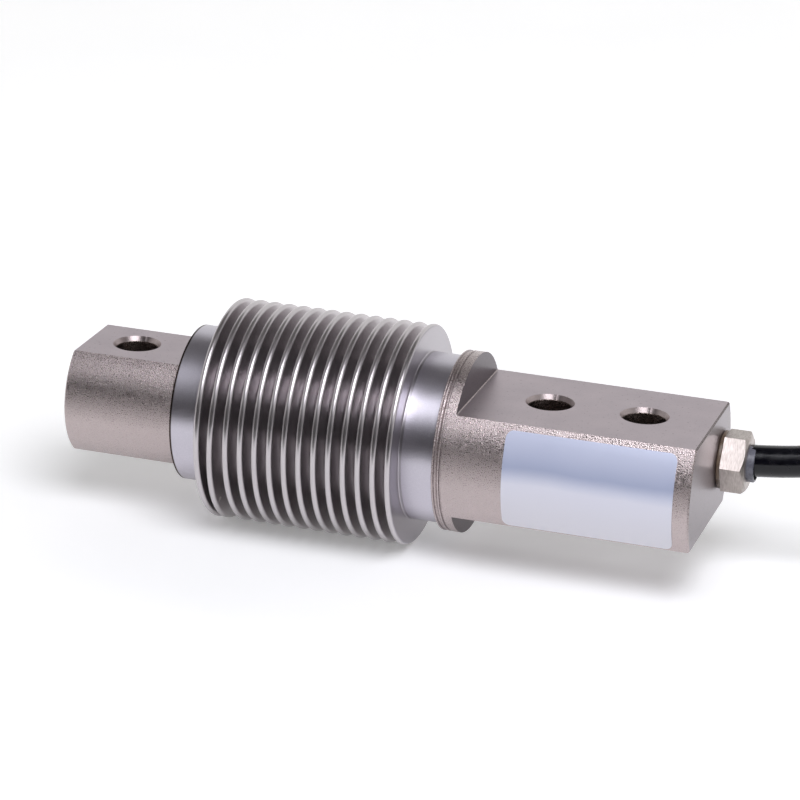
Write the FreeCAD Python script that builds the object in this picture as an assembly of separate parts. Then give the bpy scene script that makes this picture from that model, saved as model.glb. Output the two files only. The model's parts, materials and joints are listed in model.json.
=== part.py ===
import FreeCAD, Part
import math
import os

from FreeCAD import Vector

# Bending-beam load cell sealed by a metal bellows.
# The origin is on the lower mounting flat, midway between the two mounting holes.
# X runs along the bar to its cable end, Z is up, and the label faces -Y.
# All sizes are in millimetres and degrees.

# Bar ends
flat_height = 20.0
mounting_hole_spacing = 18.0
load_hole_distance = 82.0
hole_diameter = 8.2
hole_chamfer_width = 0.5
hole_chamfer_depth = 1.0
load_end_diameter = 26.0
load_end_margin = 9.7
load_end_chamfer = 0.3
load_flat_fillet = 0.3
body_diameter = 34.2
body_end_margin = 13.0
body_end_chamfer = 0.3
shoulder_margin = 14.1
shoulder_fillet = 0.2

# Flange beside the bellows, with a round lip, a weld groove, a round ridge and a relief groove
flange_length = 3.4
lip_width = 0.4
weld_groove_width = 0.65
weld_groove_depth = 0.45
ridge_width = 0.45
relief_groove_width = 0.4
relief_groove_depth = 0.35

# Bellows
crest_diameter = 42.0
crest_count = 14
crest_pitch = 2.87
crest_width = 1.2
convolution_depth = 6.1
bellows_wall = 0.2
cuff_fillet = 0.25
load_cuff_length = 6.6
body_cuff_length = 6.45
body_cuff_rise = 1.0
seat_setback = 0.4

# Measuring beam under the bellows
beam_width = 12.5
wiring_space = 5.7
beam_web = 3.5
beam_hole_spacing = 22.0
beam_slot_height = 3.0
beam_fillet = 1.5

# Strain gauges and solder terminals
gauge_length = 6.5
gauge_width = 5.0
gauge_thickness = 0.1
foil_thickness = 0.05
foil_margin = 0.4
strand_count = 6
strand_width = 0.35
strand_pitch = 0.65
strand_gap = 0.3
tab_length = 1.2
tab_width = 1.5
terminal_length = 1.6
terminal_width = 5.0
terminal_thickness = 0.4
pad_thickness = 0.1
terminal_gap = 0.4
gauge_lead_diameter = 0.25
gauge_lead_rise = 0.6

# Compensation board and its resistors
board_length = 10.0
board_width = 11.0
board_thickness = 0.8
board_pad_length = 1.2
board_pad_width = 1.6
board_pad_inset = 0.4
resistor_length = 2.0
resistor_width = 1.25
resistor_height = 0.5
resistor_gap = 0.65
bridge_wire_diameter = 0.4
bridge_wire_rise = 1.0
bridge_wire_side_gap = 1.0

# Cable gland, offset to the back so that the wire bore passes the mounting holes
gland_side_margin = 7.25
gland_turn = 3.2
hex_across_flats = 10.5
hex_length = 4.5
hex_rim_diameter = 9.8
hex_chamfer_angle = 30.0
seal_ring_diameter = 11.0
seal_ring_thickness = 0.8
seal_ring_round = 0.3
gland_thread_wall = 1.4
gland_thread_length = 5.0
gland_bore_clearance = 0.1
gland_washer_thickness = 0.8
gland_bush_length = 5.0
collar_wall = 0.5
collar_seat_depth = 2.5
collar_protrusion = 1.4
collar_round = 0.3
wire_bore_diameter = 4.0

# Cable and its cores
cable_diameter = 6.0
cable_entry_length = 5.5
core_diameter = 0.9
core_circle_radius = 0.9
core_side_gap = 2.2
core_rise = 0.8
core_drop = 1.6

# Hank that holds the free length of the cable: two straight runs with round ends, in line with the cell
hank_run = 120.0
hank_turn_radius = 18.0
hank_turn_gap = 0.1
hank_layers = 4
hank_entry = 13.0
hank_end_length = 70.0
tie_width = 3.6
tie_thickness = 0.8
tie_clearance = 0.1
tie_head_size = 5.0
tie_share = 0.75

# Cable route from the gland to the hank: forward and sideways from the exit, and the share of the rise
cable_route = [
    (-cable_entry_length, 0.0, 0.0),
    (4.5, 0.0, 0.0),
    (14.6, 0.8, 1.8),
    (25.5, 3.4, 2.6),
    (36.3, 6.9, 2.5),
    (49.0, 8.35, 1.5),
    (61.3, 8.15, 1.0),
]

# Free leads at the cable's end: place in the cable's section, then where each lies across the hank's run
lead_places = {
    "lead_red": ((-1.4, -0.6), -1.5),
    "lead_black": ((-0.9, 0.9), 0.0),
    "lead_green": ((0.0, -1.2), 1.5),
    "lead_white": ((0.9, 0.9), 3.0),
    "lead_shield": ((1.4, -0.6), 4.5),
}
# Distances past the cable's end where the leads bend, with the share of their way down to the hank
lead_bends = [(11.0, 0.6), (20.0, 1.0), (30.0, 1.0)]
lead_straight = 3.0
lead_tip_diameter = 0.6
lead_tip_length = 6.0

# Label
label_thickness = 0.1
label_start_margin = 10.0
label_end_margin = 3.1
label_upper_margin = 1.0
label_lower_margin = 0.3
label_corner = 1.4

# Places along the bar, from the mounting holes outwards
axis_height = flat_height / 2
inner_hole_x = -mounting_hole_spacing / 2
outer_hole_x = mounting_hole_spacing / 2
load_hole_x = inner_hole_x - load_hole_distance
load_end_x = load_hole_x - load_end_margin
body_end_x = outer_hole_x + body_end_margin
shoulder_x = inner_hole_x - shoulder_margin
body_cuff_end_x = shoulder_x - flange_length

# Bellows places
crest_radius = crest_diameter / 2
crest_round = crest_width / 2
valley_round = (crest_pitch - crest_width) / 2
root_radius = crest_radius - convolution_depth
body_cuff_radius = root_radius + body_cuff_rise
last_flank_x = body_cuff_end_x - body_cuff_length - cuff_fillet
last_crest_x = last_flank_x - crest_round
first_crest_x = last_crest_x - (crest_count - 1) * crest_pitch
first_flank_x = first_crest_x - crest_round
load_cuff_start_x = first_flank_x - cuff_fillet
load_cuff_end_x = load_cuff_start_x - load_cuff_length

# Seats of the bellows on the bar, and the beam between them
load_seat_radius = root_radius - bellows_wall
body_seat_radius = body_cuff_radius - bellows_wall
load_seat_end_x = load_cuff_start_x - seat_setback
body_seat_end_x = last_flank_x + cuff_fillet + seat_setback
beam_middle_x = (load_seat_end_x + body_seat_end_x) / 2
beam_height = 2 * (root_radius - bellows_wall - wiring_space)
beam_hole_diameter = beam_height - 2 * beam_web
beam_top = axis_height + beam_height / 2

# Places of the electric parts on the beam; the gauges and terminals are drawn at its upper mount side
gauge_x = beam_middle_x + beam_hole_spacing / 2
gauge_inner_x = gauge_x - gauge_length / 2
gauge_outer_x = gauge_x + gauge_length / 2
tab_x = gauge_inner_x + foil_margin + tab_length / 2
terminal_x = gauge_inner_x - terminal_gap - terminal_length / 2
gauge_top = beam_top + gauge_thickness + foil_thickness
terminal_top = beam_top + terminal_thickness + pad_thickness
board_top = beam_top + board_thickness
board_pad_top = board_top + pad_thickness
board_pad_pitch = board_length / 4
board_pad_y = board_width / 2 - board_pad_inset - board_pad_width / 2
lead_y = gauge_width / 4

# Gland places
gland_y = body_diameter / 2 - gland_side_margin
gland_thread_diameter = cable_diameter + 2 * (gland_bore_clearance + gland_thread_wall)
collar_diameter = cable_diameter + 2 * collar_wall
hex_start_x = body_end_x + seal_ring_thickness
hex_end_x = hex_start_x + hex_length
collar_start_x = hex_end_x - collar_seat_depth
cable_exit_x = hex_end_x + collar_protrusion
thread_end_x = hex_start_x - gland_thread_length
gland_bore_bottom_x = thread_end_x - 2 * gland_washer_thickness - gland_bush_length
cable_start_x = cable_exit_x - cable_entry_length

# Surface that the cable lies on, level with the lowest point of the bellows
rest_height = axis_height - crest_radius

# Hank places: an outer and an inner column of turns, and the last turn on top of the inner one
turn_pitch = cable_diameter + hank_turn_gap
hank_bottom = rest_height + tie_thickness + tie_clearance
entry_height = hank_bottom + cable_diameter / 2 + (hank_layers - 1) * turn_pitch
hank_top = entry_height + cable_diameter / 2
last_turn_height = entry_height + turn_pitch
last_turn_top = last_turn_height + cable_diameter / 2
outer_turn_radius = hank_turn_radius + turn_pitch
hank_outer_radius = outer_turn_radius + cable_diameter / 2
inner_column_radius = hank_turn_radius + cable_diameter / 2
hank_inner_radius = hank_turn_radius - cable_diameter / 2
hank_entry_x = cable_exit_x + cable_route[-1][0]
hank_start_x = hank_entry_x - hank_entry
hank_end_x = hank_start_x + hank_run
hank_y = gland_y + cable_route[-1][1] - outer_turn_radius

axis_point = Vector(0, 0, axis_height)
along_bar = Vector(1, 0, 0)
upwards = Vector(0, 0, 1)
backwards = Vector(0, 1, 0)


def chain(points):
    """Edges in the XZ plane through (x, height over the axis) points; a pair of points ends an arc."""
    def place(point):
        return Vector(point[0], 0, axis_height + point[1])

    edges = []
    here = points[0]
    for step in points[1:]:
        is_arc = isinstance(step[0], tuple)
        end = step[1] if is_arc else step
        if is_arc:
            edges.append(Part.Arc(place(here), place(step[0]), place(end)).toShape())
        else:
            edges.append(Part.LineSegment(place(here), place(end)).toShape())
        here = end
    return edges


def profile(points):
    """Face in the XZ plane bounded by the chain through the points and back to the first."""
    return Part.Face(Part.Wire(chain(points + [points[0]])))


def turned(points):
    """Solid of revolution about the bar's axis."""
    return profile(points).revolve(axis_point, along_bar, 360)


def rod(radius, start_x, end_x, y=0.0, height=axis_height):
    """Cylinder along X between two places."""
    return Part.makeCylinder(radius, end_x - start_x, Vector(start_x, y, height), along_bar)


def ring(outer_radius, inner_radius, start_x, end_x):
    """Plain ring on the gland's axis."""
    return rod(outer_radius, start_x, end_x, gland_y).cut(rod(inner_radius, start_x, end_x, gland_y))


def block(centre, size):
    """Box with its middle at the centre."""
    return Part.makeBox(*size, centre - Vector(*size) / 2)


def arc_about(centre, radius, start, end):
    """Middle and end point of an arc about the centre, from one angle to another."""
    def at(angle):
        turn = math.radians(angle)
        return (centre[0] + radius * math.cos(turn), centre[1] + radius * math.sin(turn))

    return (at((start + end) / 2), at(end))


def rounded_path(points, share=0.45):
    """Straight runs joined by tangent arcs, each as large as its runs allow, with the arcs' radii."""
    edges = []
    radii = []
    here = points[0]
    for before, corner, after in zip(points, points[1:], points[2:]):
        arriving = (corner - before).normalize()
        leaving = (after - corner).normalize()
        half_turn = arriving.getAngle(leaving) / 2
        reach = share * min(corner.distanceToPoint(before), corner.distanceToPoint(after))
        radius = reach / math.tan(half_turn)
        inwards = (leaving - arriving).normalize()
        start = corner - arriving * reach
        middle = corner + inwards * radius * (1 / math.cos(half_turn) - 1)
        end = corner + leaving * reach
        edges.append(Part.LineSegment(here, start).toShape())
        edges.append(Part.Arc(start, middle, end).toShape())
        radii.append(radius)
        here = end
    edges.append(Part.LineSegment(here, points[-1]).toShape())
    return Part.Wire(edges), radii


def tube(points, diameter):
    """Round wire or cable along a rounded path."""
    path, radii = rounded_path(points)
    heading = (points[1] - points[0]).normalize()
    section = Part.Wire(Part.makeCircle(diameter / 2, points[0], heading))
    return path.makePipeShell([section], True, True)


def turned_bar():
    """The bar as it leaves the lathe, with the bellows seats and the grooved flange."""
    load_radius = load_end_diameter / 2
    body_radius = body_diameter / 2
    lip_x = body_cuff_end_x + lip_width
    ridge_x = lip_x + weld_groove_width
    relief_x = ridge_x + ridge_width
    flange_x = relief_x + relief_groove_width
    lip_round = lip_width / 2
    ridge_round = ridge_width / 2
    lip_middle = (lip_x - lip_round, body_radius - lip_round)
    ridge_middle = (ridge_x + ridge_round, body_radius - ridge_round)
    weld_groove_bottom = ((lip_x + ridge_x) / 2, body_radius - weld_groove_depth)
    relief_groove_bottom = ((relief_x + flange_x) / 2, body_radius - relief_groove_depth)
    return turned([
        (load_end_x, 0.0),
        (load_end_x, load_radius - load_end_chamfer),
        (load_end_x + load_end_chamfer, load_radius),
        (load_cuff_end_x, load_radius),
        (load_cuff_end_x, load_seat_radius),
        (body_seat_end_x, load_seat_radius),
        (body_seat_end_x, body_seat_radius),
        (body_cuff_end_x, body_seat_radius),
        (body_cuff_end_x, body_radius - lip_round),
        arc_about(lip_middle, lip_round, 180, 0),
        (weld_groove_bottom, (ridge_x, body_radius - ridge_round)),
        arc_about(ridge_middle, ridge_round, 180, 0),
        (relief_groove_bottom, (flange_x, body_radius)),
        (body_end_x - body_end_chamfer, body_radius),
        (body_end_x, body_radius - body_end_chamfer),
        (body_end_x, 0.0),
    ])


def milled_flat(free_end, wall, chamfer, fillet):
    """Cutter that mills the upper flat from a free end, with its edge chamfer, to a filleted wall."""
    heading = 1 if wall > free_end else -1
    half = flat_height / 2
    reach = body_diameter
    beyond = free_end - heading * reach
    centre = (wall - heading * fillet, half + fillet)
    corner = arc_about(centre, fillet, -90, -90 + heading * 90)
    outline = profile([
        (beyond, half - chamfer - reach),
        (free_end + heading * chamfer, half),
        (wall - heading * fillet, half),
        corner,
        (wall, reach),
        (beyond, reach),
    ])
    outline.translate(backwards * -reach)
    return outline.extrude(backwards * 2 * reach)


def milled_pocket(half):
    """Cutter between the two seats that leaves a face of the beam at this distance from the axis."""
    reach = body_diameter
    load_corner = arc_about((load_seat_end_x + beam_fillet, half + beam_fillet), beam_fillet, 180, 270)
    body_corner = arc_about((body_seat_end_x - beam_fillet, half + beam_fillet), beam_fillet, 270, 360)
    outline = profile([
        (load_seat_end_x, reach),
        (load_seat_end_x, half + beam_fillet),
        load_corner,
        (body_seat_end_x - beam_fillet, half),
        body_corner,
        (body_seat_end_x, reach),
    ])
    outline.translate(backwards * -reach)
    return outline.extrude(backwards * 2 * reach)


def turned_about_bar(shape, angle):
    """Copy of a shape turned about the bar's axis."""
    return shape.copy().rotate(axis_point, along_bar, angle)


def bolt_hole(x):
    """Through hole from flat to flat, chamfered at both."""
    radius = hole_diameter / 2
    wide = radius + hole_chamfer_width
    low = Vector(x, 0, 0)
    high = Vector(x, 0, flat_height)
    hole = Part.makeCylinder(radius, flat_height, low)
    lower_chamfer = Part.makeCone(wide, radius, hole_chamfer_depth, low, upwards)
    upper_chamfer = Part.makeCone(wide, radius, hole_chamfer_depth, high, -upwards)
    return hole.fuse([lower_chamfer, upper_chamfer])


def beam_cutout():
    """Two holes through the beam, joined by a slot, that leave thin bending webs over and under them."""
    depth = beam_width + 2 * beam_fillet + body_diameter
    front = Vector(0, -depth / 2, axis_height)
    holes = []
    for side in (-1, 1):
        place = front + along_bar * (beam_middle_x + side * beam_hole_spacing / 2)
        holes.append(Part.makeCylinder(beam_hole_diameter / 2, depth, place, backwards))
    slot_middle = Vector(beam_middle_x, 0, axis_height)
    slot = block(slot_middle, (beam_hole_spacing, depth, beam_slot_height))
    return slot.fuse(holes)


def spring_element():
    """The bar: turned, milled and bored from one piece."""
    load_flat = milled_flat(load_end_x, load_cuff_end_x, load_end_chamfer, load_flat_fillet)
    body_flat = milled_flat(body_end_x, shoulder_x, body_end_chamfer, shoulder_fillet)
    level_pocket = milled_pocket(beam_height / 2)
    side_pocket = milled_pocket(beam_width / 2)
    cutters = [turned_about_bar(load_flat, angle) for angle in (0, 180)]
    cutters += [turned_about_bar(body_flat, angle) for angle in (0, 180)]
    cutters += [turned_about_bar(level_pocket, angle) for angle in (0, 180)]
    cutters += [turned_about_bar(side_pocket, angle) for angle in (90, 270)]
    bar = turned_bar()
    for cutter in cutters:
        bar = bar.cut(cutter)
    for x in (load_hole_x, inner_hole_x, outer_hole_x):
        bar = bar.cut(bolt_hole(x))
    bar = bar.cut(beam_cutout())
    gland_bore = rod(gland_thread_diameter / 2, gland_bore_bottom_x, body_end_x, gland_y)
    wire_bore = rod(wire_bore_diameter / 2, body_seat_end_x, gland_bore_bottom_x, gland_y)
    return bar.cut(gland_bore).cut(wire_bore)


def bellows_face(depth):
    """Points along one face of the bellows wall, from the load cuff to the body cuff, this deep in it."""
    crest_curve = crest_round - depth
    valley_curve = valley_round + depth
    cuff_curve = cuff_fillet + depth
    crest_centre = crest_radius - crest_round
    valley_centre = root_radius + valley_round
    load_corner = (load_cuff_start_x, root_radius + cuff_fillet)
    body_corner = (last_flank_x + cuff_fillet, body_cuff_radius + cuff_fillet)
    points = [
        (load_cuff_end_x, root_radius - depth),
        (load_cuff_start_x, root_radius - depth),
        arc_about(load_corner, cuff_curve, -90, 0),
    ]
    for number in range(crest_count):
        crest_x = first_crest_x + number * crest_pitch
        points.append((crest_x - crest_curve, crest_centre))
        points.append(arc_about((crest_x, crest_centre), crest_curve, 180, 0))
        if number < crest_count - 1:
            points.append((crest_x + crest_curve, valley_centre))
            points.append(arc_about((crest_x + crest_pitch / 2, valley_centre), valley_curve, 180, 360))
    points.append((last_flank_x - depth, body_corner[1]))
    points.append(arc_about(body_corner, cuff_curve, 180, 270))
    points.append((body_cuff_end_x, body_cuff_radius - depth))
    return points


def bellows():
    """One thin wall, folded into convolutions between two plain cuffs that seat on the bar."""
    outer = chain(bellows_face(0.0))
    inner = chain(bellows_face(bellows_wall))
    load_rim = chain([(load_cuff_end_x, root_radius), (load_cuff_end_x, load_seat_radius)])
    body_rim = chain([(body_cuff_end_x, body_cuff_radius), (body_cuff_end_x, body_seat_radius)])
    edges = Part.sortEdges(outer + inner + load_rim + body_rim)[0]
    return Part.Face(Part.Wire(edges)).revolve(axis_point, along_bar, 360)


def blank_label():
    """Bare film with round corners, wrapped on the front of the mounting end."""
    radius = body_diameter / 2
    start_x = shoulder_x + label_start_margin
    end_x = body_end_x - label_end_margin
    low = label_lower_margin
    high = flat_height - label_upper_margin
    film = rod(radius + label_thickness, start_x, end_x).cut(rod(radius, start_x, end_x))
    window = Part.makeBox(end_x - start_x, body_diameter, high - low, Vector(start_x, -body_diameter, low))
    corners = [edge for edge in window.Edges if abs(edge.tangentAt(edge.FirstParameter).y) > 0.5]
    return film.common(window.makeFillet(label_corner, corners))


def stations():
    """Gauge stations: name, side along the beam (-1 is the load side) and side across it (1 is the top)."""
    return [("top_load", -1, 1), ("top_mount", 1, 1), ("bottom_load", -1, -1), ("bottom_mount", 1, -1)]


def on_beam(shape, side, level):
    """Shape drawn on the beam's top, towards the mount side, moved to a station by mirroring."""
    middle = Vector(beam_middle_x, 0, axis_height)
    if side < 0:
        shape = shape.mirror(middle, along_bar)
    if level < 0:
        shape = shape.mirror(middle, upwards)
    return shape


def strain_gauge(side, level):
    """Film carrier with a folded foil grid and two solder tabs on it."""
    def foil(start_x, end_x, y, width):
        size = (end_x - start_x, width, foil_thickness)
        return block(Vector((start_x + end_x) / 2, y, gauge_top - foil_thickness / 2), size)

    film_middle = Vector(gauge_x, 0, beam_top + gauge_thickness / 2)
    film = block(film_middle, (gauge_length, gauge_width, gauge_thickness))
    tab_end = tab_x + tab_length / 2
    near = tab_end + strand_gap
    far = gauge_outer_x - foil_margin
    pieces = [foil(tab_x - tab_length / 2, tab_end, y, tab_width) for y in (-lead_y, lead_y)]
    for number in range(strand_count):
        y = (number - (strand_count - 1) / 2) * strand_pitch
        is_outer = number in (0, strand_count - 1)
        pieces.append(foil(tab_end if is_outer else near, far, y, strand_width))
    for number in range(strand_count - 1):
        y = (number - (strand_count - 2) / 2) * strand_pitch
        loop_start = far - strand_width if number % 2 == 0 else near
        pieces.append(foil(loop_start, loop_start + strand_width, y, strand_pitch))
    return on_beam(film.fuse(pieces).removeSplitter(), side, level)


def solder_terminal(side, level):
    """Small insulating strip with two copper pads."""
    middle = beam_top + terminal_thickness / 2
    strip = block(Vector(terminal_x, 0, middle), (terminal_length, terminal_width, terminal_thickness))
    pad_height = beam_top + terminal_thickness + pad_thickness / 2
    pads = []
    for y in (-lead_y, lead_y):
        pads.append(block(Vector(terminal_x, y, pad_height), (tab_length, tab_width, pad_thickness)))
    return on_beam(strip.fuse(pads), side, level)


def hump_wire(start, end, rise, diameter):
    """Fine wire that rises from one pad, crosses over and comes down on another."""
    over = max(start.z, end.z) + rise
    return tube([start, Vector(start.x, start.y, over), Vector(end.x, end.y, over), end], diameter)


def board_pads():
    """Places of the board's pads along X, the nearest to the cable first."""
    return [beam_middle_x + board_pad_pitch * place for place in (1.5, 0.5, -0.5, -1.5)]


def gauge_leads():
    """Two fine wires from each gauge's tabs to its terminal."""
    wires = []
    for name, side, level in stations():
        for y in (-lead_y, lead_y):
            start = Vector(tab_x, y, gauge_top)
            end = Vector(terminal_x + tab_length / 4, y, terminal_top)
            wires.append(on_beam(hump_wire(start, end, gauge_lead_rise, gauge_lead_diameter), side, level))
    return Part.makeCompound(wires)


def top_bridge_wires():
    """Wires from the upper terminals to the ends of the board."""
    wires = []
    edge_x = beam_middle_x + board_length / 2 - board_pad_inset - bridge_wire_diameter
    for side in (-1, 1):
        for y in (-lead_y, lead_y):
            start = Vector(terminal_x - tab_length / 4, y, terminal_top)
            end = Vector(edge_x, y, board_top)
            wires.append(on_beam(hump_wire(start, end, bridge_wire_rise, bridge_wire_diameter), side, 1))
    return Part.makeCompound(wires)


def bottom_bridge_wires():
    """Wires from the lower terminals round the front of the beam to the board's front pads."""
    wires = []
    side_y = -beam_width / 2 - bridge_wire_side_gap
    pad_bottom = 2 * axis_height - terminal_top
    under = pad_bottom - bridge_wire_rise
    over = board_pad_top + bridge_wire_rise
    pads = board_pads()
    for side, side_pads in ((1, pads[:2]), (-1, pads[:1:-1])):
        start_x = beam_middle_x + side * (terminal_x - beam_middle_x - tab_length / 4)
        for number, (y, pad_x) in enumerate(zip((-lead_y, lead_y), side_pads)):
            outwards = number * 2 * bridge_wire_diameter
            wires.append(tube([
                Vector(start_x, y, pad_bottom),
                Vector(start_x, y, under - outwards),
                Vector(start_x, side_y - outwards, under - outwards),
                Vector(pad_x, side_y - outwards, over),
                Vector(pad_x, -board_pad_y, over),
                Vector(pad_x, -board_pad_y, board_pad_top),
            ], bridge_wire_diameter))
    return Part.makeCompound(wires)


def compensation_board():
    """Board glued on the middle of the beam, with a row of pads along each long edge."""
    board_middle = Vector(beam_middle_x, 0, beam_top + board_thickness / 2)
    board = block(board_middle, (board_length, board_width, board_thickness))
    pad_height = board_top + pad_thickness / 2
    pad_size = (board_pad_length, board_pad_width, pad_thickness)
    pads = []
    for y in (-board_pad_y, board_pad_y):
        for x in board_pads():
            pads.append(block(Vector(x, y, pad_height), pad_size))
    return board.fuse(pads)


def trim_resistor(place):
    """Chip resistor in its place in the row along the middle of the board."""
    pitch = resistor_width + resistor_gap
    x = beam_middle_x + (place - 1) * pitch
    middle = Vector(x, 0, board_top + resistor_height / 2)
    return block(middle, (resistor_width, resistor_length, resistor_height))


def cable_core(number):
    """Core from the cable through the wire bore and up beside the beam to its pad on the board."""
    angle = math.radians(90 * number + 45)
    pad_x = board_pads()[number]
    y = gland_y + core_circle_radius * math.cos(angle)
    height = axis_height + core_circle_radius * math.sin(angle)
    return tube([
        Vector(gland_bore_bottom_x, y, height),
        Vector(pad_x, y, height),
        Vector(pad_x, beam_width / 2 + core_side_gap, beam_top + core_rise),
        Vector(pad_x, board_pad_y, board_pad_top + core_drop),
        Vector(pad_x, board_pad_y, board_pad_top),
    ], core_diameter)


def gland_screw():
    """Hollow hex screw with a chamfered outer end and a seat for the collar."""
    corner_radius = hex_across_flats / math.sqrt(3)
    corners = []
    for number in range(7):
        angle = math.radians(gland_turn + 60 * number)
        y = gland_y - corner_radius * math.cos(angle)
        corners.append(Vector(hex_start_x, y, axis_height + corner_radius * math.sin(angle)))
    head = Part.Face(Part.makePolygon(corners)).extrude(along_bar * hex_length)
    rim_radius = hex_rim_diameter / 2
    wide_radius = rim_radius + hex_length / math.tan(math.radians(hex_chamfer_angle))
    hex_start = Vector(hex_start_x, gland_y, axis_height)
    chamfer = Part.makeCone(wide_radius, rim_radius, hex_length, hex_start, along_bar)
    thread = rod(gland_thread_diameter / 2, thread_end_x, hex_start_x, gland_y)
    bore = rod(cable_diameter / 2 + gland_bore_clearance, thread_end_x, hex_end_x, gland_y)
    collar_seat = rod(collar_diameter / 2, collar_start_x, hex_end_x, gland_y)
    return head.common(chamfer).fuse(thread).cut(bore).cut(collar_seat).removeSplitter()


def gland_seal_ring():
    """Rubber ring between the hex and the end face, with a rounded rim."""
    inner = gland_thread_diameter / 2
    outer = seal_ring_diameter / 2
    curve = seal_ring_round
    return turned([
        (body_end_x, inner),
        (body_end_x, outer - curve),
        arc_about((body_end_x + curve, outer - curve), curve, 180, 90),
        (hex_start_x - curve, outer),
        arc_about((hex_start_x - curve, outer - curve), curve, 90, 0),
        (hex_start_x, inner),
    ]).translated(backwards * gland_y)


def gland_washer(start_x):
    """Thin thrust washer in the gland bore."""
    outer = gland_thread_diameter / 2 - gland_bore_clearance
    inner = cable_diameter / 2 + gland_bore_clearance
    return ring(outer, inner, start_x, start_x + gland_washer_thickness)


def gland_bush():
    """Rubber bush that grips the cable between the two washers."""
    start_x = gland_bore_bottom_x + gland_washer_thickness
    return ring(gland_thread_diameter / 2, cable_diameter / 2, start_x, start_x + gland_bush_length)


def cable_collar():
    """Soft collar seated in the hex, with a rounded outer edge."""
    inner = cable_diameter / 2
    outer = collar_diameter / 2
    curve = collar_round
    return turned([
        (collar_start_x, inner),
        (collar_start_x, outer),
        (cable_exit_x - curve, outer),
        arc_about((cable_exit_x - curve, outer - curve), curve, 90, 0),
        (cable_exit_x, inner),
    ]).translated(backwards * gland_y)


def cable_in_gland():
    """End of the cable's jacket inside the gland."""
    return rod(cable_diameter / 2, gland_bore_bottom_x, cable_start_x, gland_y)


def route_points():
    """The route's points in place, from inside the gland to the hank's outer column."""
    rise = entry_height - axis_height
    return [
        Vector(cable_exit_x + forward, gland_y + sideways, axis_height + share * rise)
        for forward, sideways, share in cable_route
    ]


def hank_block(radius, bottom, top):
    """Solid with the hank's two runs and round ends, out to this radius."""
    def place(x, side):
        return Vector(x, hank_y + side * radius, bottom)

    near_start, near_end = place(hank_start_x, -1), place(hank_end_x, -1)
    far_start, far_end = place(hank_start_x, 1), place(hank_end_x, 1)
    edges = [
        Part.LineSegment(far_start, far_end),
        Part.Arc(far_end, place(hank_end_x + radius, 0), near_end),
        Part.LineSegment(near_end, near_start),
        Part.Arc(near_start, place(hank_start_x - radius, 0), far_start),
    ]
    outline = Part.Wire([edge.toShape() for edge in edges])
    return Part.Face(outline).extrude(upwards * (top - bottom))


def hank_entry_step():
    """Room on the outer column, one turn high, where the cable arrives over the hank's round end."""
    bottom = hank_top - turn_pitch
    column = hank_block(hank_outer_radius, bottom, hank_top)
    column = column.cut(hank_block(inner_column_radius, bottom, hank_top))
    start_x = hank_start_x - hank_outer_radius
    size = (hank_entry_x - start_x, 2 * hank_outer_radius, turn_pitch)
    corner = Vector(start_x, hank_y - hank_outer_radius, bottom)
    return column.common(Part.makeBox(*size, corner))


def climb_top(x):
    """Height of the last turn's top where it climbs along the far run."""
    return hank_top + (last_turn_top - hank_top) * (x - hank_start_x) / hank_run


def hank_climb():
    """Wedge on the inner column of the far run, under and round the climbing last turn."""
    corners = [(hank_start_x, hank_top), (hank_end_x, hank_top), (hank_end_x, climb_top(hank_end_x))]
    y = hank_y + hank_inner_radius
    side = Part.makePolygon([Vector(x, y, height) for x, height in corners + corners[:1]])
    return Part.Face(side).extrude(backwards * cable_diameter)


def cable_hank():
    """Outer shape of the wound turns: two columns of full turns, and the last turn's climb."""
    turns = hank_block(hank_outer_radius, hank_bottom, hank_top)
    turns = turns.cut(hank_block(hank_inner_radius, hank_bottom, hank_top))
    return turns.cut(hank_entry_step()).fuse(hank_climb()).removeSplitter()


def cable_tail():
    """Free cable from the gland to the hank, over the hank's round end, trimmed where it joins the turns."""
    points = route_points()
    path, radii = rounded_path(points)
    print("cable tail radii", [round(radius, 1) for radius in radii], "length", round(path.Length, 1))
    return tube(points, cable_diameter).cut(cable_hank())


def cable_end():
    """Last turn of the cable on top of the hank: round its end and back along the near run."""
    start = Vector(hank_end_x, hank_y + hank_turn_radius, last_turn_height)
    section = Part.Face(Part.Wire(Part.makeCircle(cable_diameter / 2, start, along_bar)))
    bend = section.revolve(Vector(hank_end_x, hank_y, 0), upwards, -180)
    near = start - backwards * 2 * hank_turn_radius
    run = Part.makeCylinder(cable_diameter / 2, hank_end_length, near, -along_bar)
    return bend.fuse(run).removeSplitter()


def lead_points(name):
    """Points of a free lead, straight out of the cable's end face, then down to the hank and along it."""
    (across, over), lay = lead_places[name]
    end_x = hank_end_x - hank_end_length
    middle_y = hank_y - hank_turn_radius
    starting = last_turn_height + over
    lying = hank_top + hank_turn_gap + core_diameter / 2
    start = Vector(end_x, middle_y - across, starting)
    points = [start, start - along_bar * lead_straight]
    for distance, share in lead_bends:
        sideways = across + share * (lay - across)
        height = starting + share * (lying - starting)
        points.append(Vector(end_x - distance, middle_y - sideways, height))
    return points


def lead_tips():
    """Tinned bare ends of the free leads."""
    tips = []
    for name in lead_places:
        before, end = lead_points(name)[-2:]
        tips.append(Part.makeCylinder(lead_tip_diameter / 2, lead_tip_length, end, end - before))
    return Part.makeCompound(tips)


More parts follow.
